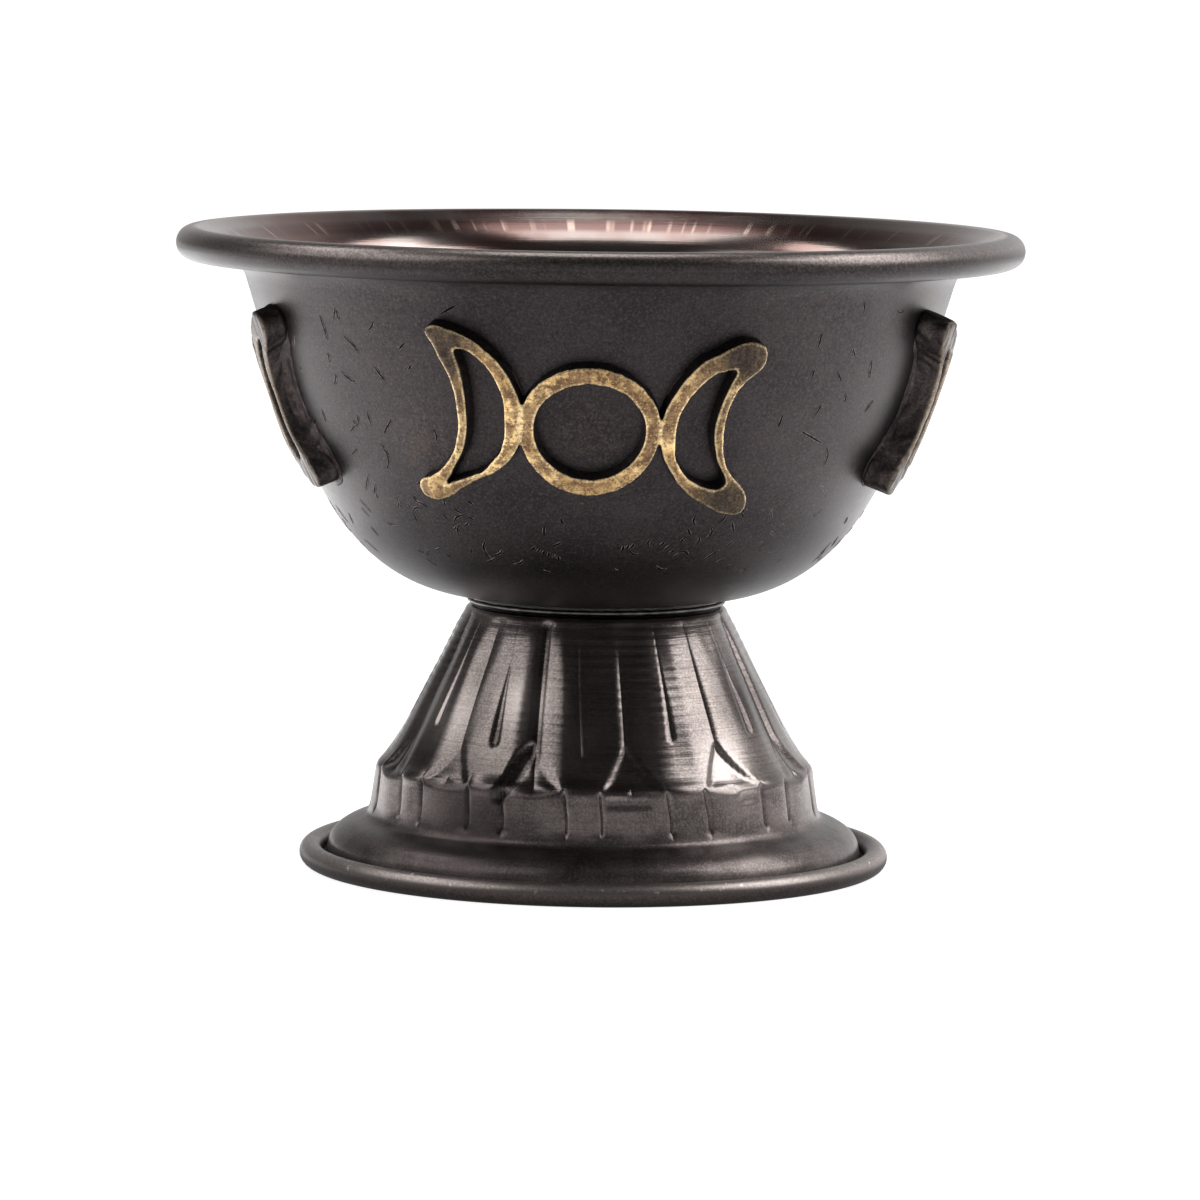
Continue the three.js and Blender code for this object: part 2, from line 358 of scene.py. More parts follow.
def spun(finish, around, across, detail=2, seed=0.0):
    """Noise in rings, as a lathe leaves them: so many patches round the piece, and so many a millimetre."""
    flat = finish.node("ShaderNodeVectorMath", {"operation": "MULTIPLY"}, {0: finish.place(), 1: (1, 1, 0)})
    side, back, _ = finish.axes(finish.node("ShaderNodeVectorMath", {"operation": "NORMALIZE"}, {0: flat}))
    share = around / (2 * math.pi)
    parts = {0: side * share, 1: back * share, 2: finish.mark("length") * across + seed}
    vector = finish.node("ShaderNodeCombineXYZ", inputs=parts)
    return finish.node("ShaderNodeTexNoise", inputs={"Vector": vector, "Scale": 1.0, "Detail": detail})


def patches(finish, size, detail=3, seed=0.0, roughness=0.5):
    """Noise whose patches are so many millimetres across."""
    moved = finish.node("ShaderNodeMapping", inputs={"Vector": finish.place(), "Location": (seed, 0, 0)})
    scale = {"Scale": 1 / (size * MM), "Detail": detail, "Roughness": roughness}
    return finish.node("ShaderNodeTexNoise", inputs={"Vector": moved, **scale})


def near(finish, azimuth, height, radius, reach):
    """1 at a place on the wall and 0 beyond its reach, all in millimetres and degrees."""
    angle = math.radians(azimuth)
    centre = (radius * math.sin(angle) * MM, -radius * math.cos(angle) * MM, height * MM)
    ends = {0: finish.place(), 1: centre}
    gap = finish.node("ShaderNodeVectorMath", {"operation": "DISTANCE"}, ends, "Value")
    return gap.rise(reach * MM, 0)


def climb(finish, low, high):
    """0 below one height and 1 above another, in millimetres. It falls where low is above high."""
    return finish.axes(finish.place())[2].rise(low * MM, high * MM)


def over(under, *coats):
    """A colour under coats of others, each given as how much it covers and its colour."""
    for cover, coat in coats:
        under = cover.blend(under, coat)
    return under


def shader(finish, height, base, rough, metal=1.0):
    """The surface: its height is in millimetres, and it is the bump of everything finer than the mesh."""
    bump = finish.node("ShaderNodeBump", inputs={"Height": height, "Distance": MM, "Strength": 1.0})
    inputs = {"Base Color": base, "Roughness": rough, "Metallic": metal, "Normal": bump}
    surface = finish.node("ShaderNodeBsdfPrincipled", inputs=inputs)
    finish.node("ShaderNodeOutputMaterial", inputs={"Surface": surface})
    return finish.owner


dark = Finish(bpy.data.materials.new("darkened_copper"))
gloss = dark.mark("gloss")
lathe = spun(dark, 5, 2.4, detail=3)
fine_lathe = spun(dark, 14, 6.0, detail=2, seed=31)
cloud = patches(dark, 9, seed=0.4)
mottle = patches(dark, 1.1, detail=4, seed=1.3, roughness=0.65)
grain = patches(dark, 0.3, detail=3, seed=2.6, roughness=0.7)
bead_edge = climb(dark, bowl_high.z - 2.4, bowl_high.z - 0.6) * (1 - gloss)
# Places that were rubbed towards brass, each with its azimuth, height, radius and reach.
rubs = [
    (-32, 54, 37.6, 7), (-63, 70, 43, 5), (66, 70, 43, 5), (-1.4, 55.7, 37.8, 6), (90, 60, 39, 9),
    (182, 62, 40, 8),
]
brassy = sum(near(dark, *rub) for rub in rubs) * (mottle * 0.5 + grain * 0.5).rise(0.4, 0.7) * 0.2
brown = over(
    cloud.rise(0.35, 0.7).blend((49, 45, 46), (41, 38, 39)),
    (mottle.rise(0.45, 0.8) * 0.5, (64, 56, 56)),
    (lathe.rise(0.5, 0.75) * 0.25, (36, 32, 34)),
    (grain.rise(0.48, 0.72) * 0.8, (68, 63, 63)),
    (grain.rise(0.46, 0.28) * 0.75, (28, 24, 25)),
    (bead_edge, grain.rise(0.3, 0.75).blend((94, 87, 85), (142, 132, 128))),
    # The rim bead is painted lighter at its left end, round an azimuth of -88 degrees, as a painted sheen.
    (near(dark, -88, 75.4, 49.5, 16) * bead_edge * 0.6, (170, 160, 156)),
    (brassy, (104, 88, 66)),
)
# A browner ring is painted in the throat as painted shade over the upper half of the overhead lamp's
# reflection there, and light dashes are painted in it as a painted reflection of a row of small lamps.
painted_reflection_band = climb(dark, bowl_high.z - 2.9, bowl_high.z - 2.2)
painted_reflection_band = painted_reflection_band * climb(dark, bowl_high.z - 0.9, bowl_high.z - 1.6)
painted_lamp_dashes = spun(dark, 210, 0, detail=1, seed=12)
red = over(
    patches(dark, 14, seed=2.2).rise(0.35, 0.65).blend((126, 98, 92), (150, 138, 133)),
    (painted_reflection_band * 0.8, (104, 74, 70)),
    (painted_reflection_band * painted_lamp_dashes.rise(0.56, 0.7) * 0.75, (190, 166, 154)),
)
base = gloss.blend(brown, red)
rough = (1 - gloss) * (0.32 + 0.1 * mottle + 0.08 * grain - 0.1 * bead_edge) + gloss * (0.13 + 0.1 * cloud)
relief = 0.012 * (1 - gloss * 0.6) * lathe + 0.008 * fine_lathe + 0.006 * mottle + (1 - gloss) * 0.014 * grain
bowl.data.materials.append(shader(dark, relief, base, rough))
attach(bowl, "root")
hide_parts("bowl")


# Chased marks: short strokes and small arcs that were struck into the wall with a blunt liner punch.
# Each one is a dark furrow between two lips of raised metal, and the lips were rubbed bright.
mark_half_width = 0.24
mark_lip = 0.055
mark_steps = 9
nick_length = 0.9
nick_bow = 0.15
marks_below = 64
marks_behind = 170
# On the front, as seen: azimuth, height, length, lean from upright towards the right, and bow.
strokes = [
    (-47.5, 68.3, 1.7, 25, 0), (-46.8, 68.1, 1.2, -10, 0), (-51.3, 66.5, 3.1, -8, 0.05),
    (-39.7, 67.2, 1.6, 45, 0.2), (-45, 64.7, 3, -45, 0.1), (-51.9, 62.9, 1.2, 0, 0),
    (-62.5, 64.3, 2, 35, 0), (-62.8, 60.9, 1.1, 8, 0), (-51.8, 60.3, 1.7, 30, 0.2),
    (-47.7, 60.9, 2.4, -60, -0.2), (-39.8, 61.4, 2.6, -36, 0.05), (-59, 55.5, 2, -5, 0),
    (-50, 54.7, 2.4, 60, 0), (-49.2, 55.2, 1, -32, 0), (-48, 55.7, 1.2, 8, 0), (-44.9, 56, 2, -6, 0),
    (-40.8, 55.2, 2.8, 42, 0), (-30.6, 54.6, 1.6, -4, 0.4), (-52.1, 51.7, 1.8, 60, 0),
    (-43.9, 51.5, 3.4, 5, 0.45), (-51.6, 48, 3.2, 38, 0), (-49.8, 47.3, 1.8, 34, 0),
    (-49.3, 43.6, 2.8, 88, 0.45), (-56, 45, 2.4, -35, 0), (-57.5, 44.2, 1.8, -35, 0),
    (-58.4, 41.8, 1.8, -14, 0), (-29.4, 44.5, 2.3, 50, -0.35), (-29.9, 43.2, 2.3, 25, -0.35),
    (-24.4, 40.9, 3.6, 5, -0.4), (-24.3, 69.6, 2.5, 62, 0), (26.5, 40.6, 2.3, 45, 0),
    (46.4, 69.9, 1.7, -8, 0), (56.9, 69.3, 2, 86, 0.4), (38.2, 66.2, 2.2, 4, 0),
    (46.7, 64.5, 1.5, -35, 0), (52.5, 62.3, 2.4, -12, 0), (44.6, 61.7, 1.8, -40, 0),
    (47.6, 59.1, 1.2, -12, 0), (41.5, 57.8, 1.5, 28, 0), (55.5, 57.8, 1.9, 38, 0),
    (33.5, 56.7, 1.7, 12, 0), (41.9, 54.5, 4.6, -66, 0), (46.5, 52, 2.7, -10, 0.45),
    (50.5, 47.6, 3.6, -50, 0.1), (37.4, 45.5, 2.2, -35, 0), (29.1, 44, 1.8, -24, 0),
    (40.4, 42.9, 2, -60, 0), (38.3, 62.2, 0.9, 10, 0), (-34, 65, 1.6, 50, 0), (-33, 62.6, 1.4, 40, 0),
    (-36, 49, 1.8, 60, 0.2), (-38, 46, 2, -70, 0.3),
]
# Rows of nicks under the moon: the azimuth and height of the first, the steps to the next, how many there
# are, and the lean of the first and the last.
fans = [(-14, 41.4, 1.05, -0.24, 6, 42, 0), (5.5, 41.6, 1, 0.15, 3, 10, 30), (14, 42.2, 1.3, -0.5, 4, 35, 42)]
for azimuth, height, turn, rise, count, first_lean, last_lean in fans:
    for i in range(count):
        lean = first_lean + (last_lean - first_lean) * i / (count - 1)
        strokes.append((azimuth + turn * i, height + rise * i, nick_length, lean, nick_bow))
# Small ones are scattered by chance below the front badge, and others round the rest of the bowl, clear of
# the badges there.
chance = np.random.default_rng(12)
for _ in range(marks_below):
    azimuth, height = chance.uniform(-52, 52), chance.uniform(38, 47)
    length, lean = chance.uniform(0.6, 2), chance.uniform(-70, 70)
    strokes.append((azimuth, height, length, lean, chance.choice([0, 0.3, 0.5, -0.5])))
while marks_behind:
    azimuth, height = chance.uniform(66, 294), chance.uniform(38, 71)
    if abs((azimuth + 46.4) % 90 - 45) > 29 or height < 44:
        length, lean = chance.uniform(0.8, 3.2), chance.uniform(-70, 70)
        strokes.append((azimuth, height, length, lean, chance.choice([0, 0, 0.1, 0.4, -0.4])))
        marks_behind -= 1

wall_rise = wall_line[8:]
wall_normal = -left_of(wall_line)[8:]
wall_length = along(wall_rise)


def on_wall(azimuths, lengths, heights):
    """Points so far along the wall from where it leaves the floor, and so high off its face."""
    radii, rises = (
        np.interp(lengths, wall_length, face) + heights * np.interp(lengths, wall_length, normal)
        for face, normal in zip(wall_rise.T, wall_normal.T)
    )
    return ring(radii, rises, azimuths)


# The section of a mark, as shares of its half width and of the height of its lips.
section = np.array([
    (-1, -1.2), (-0.8, 0.5), (-0.64, 1), (-0.4, 0.2), (0.4, 0.2), (0.64, 1), (0.8, 0.5), (1, -1.2),
])
wide = len(section)
points, faces, hollows = [], [], []
for azimuth, height, length, lean, bow in strokes:
    t = np.linspace(-1, 1, mark_steps)[:, None]
    taper = np.sqrt(np.clip(1.04 - t**2, 0, 1))
    upright, level = np.cos(math.radians(lean)), np.sin(math.radians(lean))
    forward = t * length / 2
    sideways = section[None, :, 0] * mark_half_width * taper + bow * length / 2 * (1 - t**2)
    middle = np.interp(height, wall_rise[:, 1], wall_length)
    radius = np.interp(height, wall_rise[:, 1], wall_rise[:, 0])
    lengths = middle + forward * upright - sideways * level
    turns = math.radians(azimuth) + (forward * level + sideways * upright) / radius
    lift = section[None, :, 1] * mark_lip * taper
    first = len(points) * mark_steps * wide
    points.append(on_wall(turns, lengths, lift).reshape(-1, 3))
    hollows.append(np.broadcast_to(np.abs(section[:, 0]) < 0.5, (mark_steps, wide)).ravel())
    for i in range(mark_steps - 1):
        for j in range(wide - 1):
            corner = first + i * wide + j
            faces.append((corner, corner + 1, corner + wide + 1, corner + wide))
marks_mesh = bpy.data.meshes.new("chased_marks")
marks_mesh.from_pydata((np.concatenate(points) * MM).tolist(), [], faces)
carry(marks_mesh, hollow=np.concatenate(hollows))
marks_mesh.shade_smooth()
marks = new_object("chased_marks", marks_mesh)
furrow = Finish(bpy.data.materials.new("chased_furrows"))
grit = patches(furrow, 0.5, seed=0.7)
lip = grit.rise(0.35, 0.7).blend((60, 55, 56), (116, 108, 106))
struck = furrow.mark("hollow").rise(0.2, 0.7).blend(lip, (8, 7, 7))
marks_mesh.materials.append(shader(furrow, 0.008 * grit, struck, 0.4 + 0.1 * grit))
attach(marks, "root")


# Foot: a thinner disc of copper, pressed between fluted dies into tongues over a band of panels, then spun
# out to a flange and curled at its edge. It was browned like the bowl and buffed, so its high parts shine.
foot_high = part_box("foot")[1] / MM
foot_wall = 0.7
flute_count = 13
flute_depth = 0.66
band_top = 12.0
apex_height = 17.2
panel_share = 0.36
panel_groove = 0.3
groove_half_width = 0.34
wide_crown = 0.2
narrow_crown = 0.16
recess_depth = 0.54
trough_depth = 0.32
knuckle_height = 12.6
knuckle_depth = 0.16
leaf_height = 14
leaf_half_length = 3.3
leaf_half_width = 3.1
leaf_depth = 0.5
strike_depth = 0.16
ripple_spacing = 1.05
ripple_depth = 0.036
bead_radius = 1.4
bead_hook = 45
bead_start = 200
base_bead = (foot_high.x - bead_radius, bead_radius - 0.08)
cone_points = [
    (15.1, 31.6), (15.55, 31.45), (15.85, 31.05), (16.05, 30.6), (16.6, 29.6), (17.6, 27.6),
    (18.85, 25.1), (20.15, 22.6), (21.5, 20), (23.05, 17), (24.35, 14.8), (25.35, 13.4), (26.15, 12.5),
    (26.5, 11.9), (26.62, 11.2), (26.9, 9.2), (27.12, 7.7), (27.3, 6.75), (27.5, 6.2), (27.9, 5.85),
    (28.6, 5.55), (29.6, 5.2), (30.5, 4.75), (31.2, 4.25), (31.75, 3.65), (32.1, 3.0),
]
# The azimuths of the creases and tongue middles at three heights, counted in flutes from the tongue at the
# front. They were measured on the front, where the dies pressed the flutes a little unevenly.
flute_knots = [-2.5, -2, -1.5, -1, -0.5, 0, 0.5, 1, 1.5, 2, 2.5, 10.5]
flute_places = {
    9: [-68, -55, -42, -29, -14.5, -2.6, 10.5, 25.6, 40, 54.6, 70, 292],
    15: [-70, -57, -43.5, -30.8, -17.3, -3.6, 9, 23.6, 38.5, 55, 68.5, 290],
    31: [-72, -59, -46, -34.5, -21.8, -7.5, 8.9, 24.9, 40, 56.2, 71, 288],
}


def through(points, spacing):
    """A smooth line through points, with its own points about so far apart."""
    points = np.array(points, float)
    knots = along(points)
    ways = np.gradient(points, knots, axis=0)
    fine = np.linspace(0, knots[-1], int(knots[-1] / spacing) + 1)
    i = np.clip(np.searchsorted(knots, fine, side="right") - 1, 0, len(knots) - 2)
    gap = knots[i + 1] - knots[i]
    t = ((fine - knots[i]) / gap)[:, None]
    gap = gap[:, None]
    start = points[i] * (1 + 2 * t) * (1 - t) ** 2 + ways[i] * gap * t * (1 - t) ** 2
    return start + points[i + 1] * t**2 * (3 - 2 * t) - ways[i + 1] * gap * t**2 * (1 - t)


def step(low, high, values):
    """0 below low and 1 above high, smoothly."""
    t = np.clip((values - low) / (high - low), 0, 1)
    return t * t * (3 - 2 * t)


valley = arc(base_bead, bead_radius, bead_start, 0, 1)[0]
cone_line = through(cone_points, 0.3)
flange_line = bezier([cone_line[-1], (32.4, 1.6), (32.75, 0.2), valley], 8)
bead_line = arc(base_bead, bead_radius, bead_start, -(bead_start + 90 + bead_hook), 26)
foot_outside = np.concatenate([[(7.5, foot_high.z)], cone_line, flange_line[1:], bead_line[1:]])
foot_outside[:, 1] = np.maximum(foot_outside[:, 1], 0)
offset = foot_outside - foot_wall * left_of(foot_outside)
keep = np.unique(np.concatenate([np.arange(0, len(cone_line), 8), np.arange(len(cone_line), len(offset), 4)]))
foot_inside = offset[keep]
foot_inside = foot_inside[(foot_inside[:, 1] > 0.25) | (np.arange(len(foot_inside)) < 3)]
foot_line = np.concatenate([foot_inside, foot_outside[::-1]])
foot_length = along(foot_line)

# Columns of the mesh crowd together at the creases, at the edges of the panels and at the veins.
crowd = [
    low + (high - low) * (1 - np.cos(np.pi * np.arange(count) / count)) / 2
    for low, high, count in ((0, panel_share, 9), (panel_share, 1, 12))
]
half_flute = np.concatenate(crowd)
sides = np.concatenate([half_flute, [1], 2 - half_flute[:0:-1]]) / 2
shares = (np.arange(flute_count)[:, None] + sides[None, :]).ravel()

share_grid, foot_length_grid = np.meshgrid(shares, foot_length)
z = np.broadcast_to(foot_line[:, 1:], share_grid.shape)
r = np.broadcast_to(foot_line[:, :1], share_grid.shape)
tongue = np.round(share_grid).astype(int) % flute_count
crease = np.floor(share_grid).astype(int) % flute_count
offcentre = share_grid - np.round(share_grid)
side = 2 * np.abs(offcentre)
pitch = 2 * math.pi / flute_count * r
fluted = step(6, 7, z) * step(foot_high.z + 0.1, foot_high.z - 1.3, z)

# A tongue is flat along its middle and falls away to the creases, more or less steeply on each side.
chance = np.random.default_rng(7)
crease_share = 1 + chance.uniform(-0.25, 0.25, flute_count)
crease_share[[10, 11, 12, 0, 1, 2]] = (0.9, 0.65, 0.9, 0.45, 0.4, 0.9)
flank_left, flank_right = chance.uniform(0.35, 0.8, (2, flute_count))
flank_left[[11, 12, 0, 1, 2]] = (0.4, 0.2, 0.36, 0.3, 0.88)
flank_right[[11, 12, 0, 1, 2]] = (0.3, 0.45, 0.86, 0.4, 0.3)
flank = np.where(offcentre < 0, flank_left[tongue], flank_right[tongue])
steep = np.clip((side - flank) / (1 - flank), 0, 1)
fade = r / 24 * (1 - 0.4 * step(25, 31.5, z))
arch = flute_depth * fade * crease_share[crease] * 1.3 * steep**2 / (steep + 0.3)
# Under a crease the two tongues part in a wedge, pressed back to the shoulder of the band.
up_wedge = np.clip((z - band_top) / (apex_height - band_top), 0, 1)
leg = panel_share + (1 - panel_share) * up_wedge**0.85
from_leg = (side - leg) * pitch / 2
wedge = step(-0.4, 0.6, from_leg) * (z < apex_height)
sunk = recess_depth * step(band_top - 0.1, band_top + 1.1, z)
below = np.where(z > apex_height, arch, arch * (1 - wedge) + np.maximum(sunk, arch) * wedge)
on_cone = step(band_top - 0.5, band_top + 0.4, z)
relief = below * on_cone
# One crease was struck flat, and is a broad dark trough.
trough = trough_depth * (crease == 12) * (1 - step(0.4, 0.8, (1 - side) * pitch / 2)) * step(14, 16, z)
# Veins down the middle of each tongue: a scored line that opens into a drop-shaped hollow.
vein_end = chance.uniform(16, 18.5, flute_count)
vein_end[[11, 12, 0, 1, 2]] = (18, 16.4, 16, 17.6, 17.6)
vein_half = chance.uniform(0.2, 0.6, flute_count)
vein_half[[11, 12, 0, 1, 2]] = (0.6, 1.0, 0.2, 0.45, 0.6)
fall = np.clip((foot_high.z - 0.8 - z) / (foot_high.z - 0.8 - vein_end[tongue]), 0, 1.2)
vein_width = 0.09 + (vein_half[tongue] - 0.09) * np.clip((fall - 0.3) / 0.7, 0, 1)
bottom = np.clip((vein_end[tongue] + vein_width - z) / vein_width, 0, 2)
across = np.hypot(offcentre * pitch / vein_width, bottom)
vein = 0.42 * vein_width * (1 - step(0.2, 1.15, across)) * (fall > 0)
hollow = trough + vein
# The band: a groove down each side of the narrow panels, and crowned panels between the grooves.
from_groove = np.abs(side - panel_share) * pitch / 2
groove = panel_groove * np.clip(1 - from_groove / groove_half_width, 0, 1) ** 1.3
on_band = step(6.6, 7.6, z) * (1 - step(band_top - 0.2, band_top + 0.5, z))
wide = np.clip((side - panel_share) / (1 - panel_share), 0, 1)
crown = np.where(side > panel_share, wide_crown * (1 - wide) ** 2, narrow_crown * (side / panel_share) ** 2)
relief = relief + crown * on_band
hollow = hollow + groove * on_band
# Knuckles, where the tongues turn over the shoulder into the narrow panels.
knuckle = np.exp(-(((z - knuckle_height) / 0.8) ** 2)) * np.clip(1 - (side / panel_share) ** 2, 0, 1)
relief = relief - knuckle_depth * knuckle * chance.uniform(0.4, 1.4, flute_count)[tongue]
# Stray dents of the die: a leaf on one tongue, and flat strikes at the top of two wide panels.
wrapped = np.where(shares > flute_knots[-1], shares - flute_count, shares)
places = [np.interp(wrapped, flute_knots, row) for row in flute_places.values()]
weights = [np.interp(foot_line[:, 1], list(flute_places), unit) for unit in np.eye(3)]
degrees = sum(weight[:, None] * row[None, :] for weight, row in zip(weights, places))
foot_azimuth = np.radians(degrees)
degrees = (degrees + 180) % 360 - 180
from_leaf = z - leaf_height
leaf_middle = -22.3 + 0.87 * from_leaf
leaf_half = leaf_half_width * np.sqrt(np.clip(1 - (from_leaf / leaf_half_length) ** 2, 0.001, 1))
leaf = np.clip(1 - ((degrees - leaf_middle) / leaf_half) ** 2, 0, 1) * (np.abs(from_leaf) < leaf_half_length)
hollow = hollow + leaf_depth * leaf**0.7
for left, right in ((3.5, 14.5), (41, 46.5)):
    inside = step(left - 0.4, left + 0.4, degrees) * (1 - step(right - 0.4, right + 0.4, degrees))
    hollow = hollow + strike_depth * inside * step(10.3, 10.6, z) * (1 - step(11.5, 11.9, z))
# The sheet ripples where the flutes squeezed it, most of all under the neck.
ripple = np.sin(2 * math.pi * z / ripple_spacing + 1.2 * uneven(foot_azimuth, z, seed=9))
ripple = ripple * (0.4 + 0.6 * step(19, 26, z))
patch = step(-1, 0.9, uneven(foot_azimuth, z * 0.8, seed=21, waves=7, finest=11))
patch = np.maximum(patch, 1.4 * np.exp(-(((degrees - 19) / 8) ** 2)))
relief = relief + ripple_depth * ripple * patch * step(13, 15, z)
relief = relief + 0.03 * uneven(foot_azimuth, z * 1.7, seed=33, waves=14, finest=44) * step(11, 15, z)
relief = (relief + hollow) * fluted
relief = relief + 0.02 * uneven(foot_azimuth, z * 0.9, seed=3, finest=13) * step(3.6, 5, z) * fluted
relief[:1] = relief[-1:] = 0
foot = skin(
    "foot_shell", ring(r - relief, z, foot_azimuth),
    [(0, 0, foot_high.z - foot_wall), (0, 0, foot_high.z)],
    length=foot_length_grid,
    pressed=np.clip(hollow * fluted, 0, 1),
    bead=step(-0.9, 0.2, foot_line[:, :1] - base_bead[0]),
)

buffed = Finish(bpy.data.materials.new("buffed_copper"))
pressed = buffed.mark("pressed")
rings = spun(buffed, 9, 3.2, detail=3, seed=5)
fine_rings = spun(buffed, 20, 8, detail=2, seed=60)
cloud = patches(buffed, 6, seed=0.9)
grain = patches(buffed, 0.8, detail=4, seed=1.9, roughness=0.65)
band = climb(buffed, 12.6, 11.8)
speck = patches(buffed, 0.28, detail=3, seed=4.2, roughness=0.7)
dim_patch = patches(buffed, 3.2, detail=3, seed=6.1).rise(0.35, 0.65)
metal = over(
    cloud.rise(0.35, 0.7).blend((110, 103, 101), (124, 116, 112)),
    (grain.rise(0.5, 0.8) * 0.45, (92, 82, 80)),
    (pressed.rise(0.03, 0.28) * 0.75, (50, 44, 43)),
    (rings.rise(0.5, 0.7) * 0.5, (80, 72, 70)),
    (fine_rings.rise(0.54, 0.72) * 0.4, (152, 143, 138)),
    (band * 0.6, dim_patch.blend((70, 63, 63), (112, 103, 101))),
    (speck.rise(0.48, 0.68) * 0.5, (150, 140, 136)),
    (speck.rise(0.48, 0.3) * 0.4, (58, 52, 51)),
    # The flange below the band is painted a little darker, as painted shade.
    (climb(buffed, 6.3, 5.6) * 0.1, (62, 56, 56)),
)
# Spots painted darker on the foot, as painted shade where the lamps' reflections should be weaker: azimuth,
# height, radius and reach.
for painted_spot in [(-36, 9, 27, 13), (63, 22, 21, 9), (-30, 4.6, 30, 12)]:
    metal = (near(buffed, *painted_spot) * 0.75).blend(metal, (58, 52, 52))
# Spots painted lighter, as painted highlights where the lamps' reflections should be stronger, with the same
# columns.
for painted_spot in [(-24, 22, 20.5, 5), (41, 14.5, 25, 7), (-56, 20, 21.5, 7)]:
    metal = (near(buffed, *painted_spot) * 0.5).blend(metal, (190, 180, 175))
# The bead at its edge is painted lighter on its upper half as painted light and darker on its lower half as
# painted shade, with near-white painted glints scattered on its upper half.
bead = buffed.mark("bead")
painted_bead_top = climb(buffed, 1.3, 2.3)
bead_painted_light_and_shade = painted_bead_top.blend((66, 60, 59), (172, 162, 157))
metal = over(
    metal,
    (bead * 0.9, (speck.rise(0.42, 0.6) * 0.45).blend(bead_painted_light_and_shade, (96, 88, 86))),
    (bead * grain.rise(0.62, 0.7) * painted_bead_top, (245, 238, 232)),
)
rough = 0.14 + 0.1 * cloud + 0.1 * grain + 0.1 * pressed + 0.12 * band + 0.04 * bead
relief = (1 - 0.7 * band) * (0.022 * rings + 0.01 * fine_rings)
relief = relief + 0.005 * grain + 0.008 * speck * (0.3 + 1.2 * band)
foot.data.materials.append(shader(buffed, relief, metal, rough))
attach(foot, "root")
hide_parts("foot")


# Neck solder: the foot was stood on the turned-over bowl and a ring of soft solder run round it. It froze
# as a narrow grey fillet, a little uneven, in the corner between the two pieces of copper.
neck_low, neck_high = (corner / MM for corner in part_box("neck_solder"))
neck_columns = 288
fillet_half_width = 0.34
fillet_half_height = 0.27
neck_turns = np.linspace(0, 2 * math.pi, neck_columns, endpoint=False)
section_turns = np.linspace(0, 2 * math.pi, 14, endpoint=False)
neck_middle = (neck_high.x - 0.12, (neck_low.z + neck_high.z) / 2 + 0.12)
turn_grid, section_grid = np.meshgrid(neck_turns, section_turns)
swell = 1 + 0.07 * uneven(turn_grid, 0 * turn_grid, seed=15, waves=12, finest=18)
section_radius = neck_middle[0] + fillet_half_width * swell * np.cos(section_grid)
section_height = neck_middle[1] + fillet_half_height * swell * np.sin(section_grid)
rows = ring(section_radius, section_height, turn_grid)


def loops(name, loops_of_rows):
    """Closed loops of closed sections, whose points go round each section row by row, in millimetres."""
    points, faces = [], []
    for rows in loops_of_rows:
        count, columns, _ = rows.shape
        i, j = np.meshgrid(np.arange(count), np.arange(columns), indexing="ij")
        after_i, after_j = (i + 1) % count, (j + 1) % columns
        corners = [i * columns + j, i * columns + after_j, after_i * columns + after_j, after_i * columns + j]
        faces += (len(points) + np.stack(corners, -1).reshape(-1, 4)).tolist()
        points += (rows.reshape(-1, 3) * MM).tolist()
    mesh = bpy.data.meshes.new(name)
    mesh.from_pydata(points, [], faces)
    shape = bmesh.new()
    shape.from_mesh(mesh)
    bmesh.ops.recalc_face_normals(shape, faces=shape.faces)
    shape.to_mesh(mesh)
    shape.free()
    mesh.shade_smooth()
    return new_object(name, mesh)


fillet = loops("neck_fillet", [rows])
tin = Finish(bpy.data.materials.new("tarnished_solder"))
dull = patches(tin, 1.4, detail=4, seed=3.1)
speck = patches(tin, 0.35, detail=3, seed=0.2)
grey = dull.rise(0.35, 0.7).blend((66, 62, 61), (98, 94, 92))
grey = (speck.rise(0.55, 0.75) * 0.5).blend(grey, (70, 64, 62))
solder = shader(tin, 0.02 * dull + 0.01 * speck, grey, 0.3 + 0.2 * dull)
fillet.data.materials.append(solder)
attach(fillet, "root")
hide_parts("neck_solder")


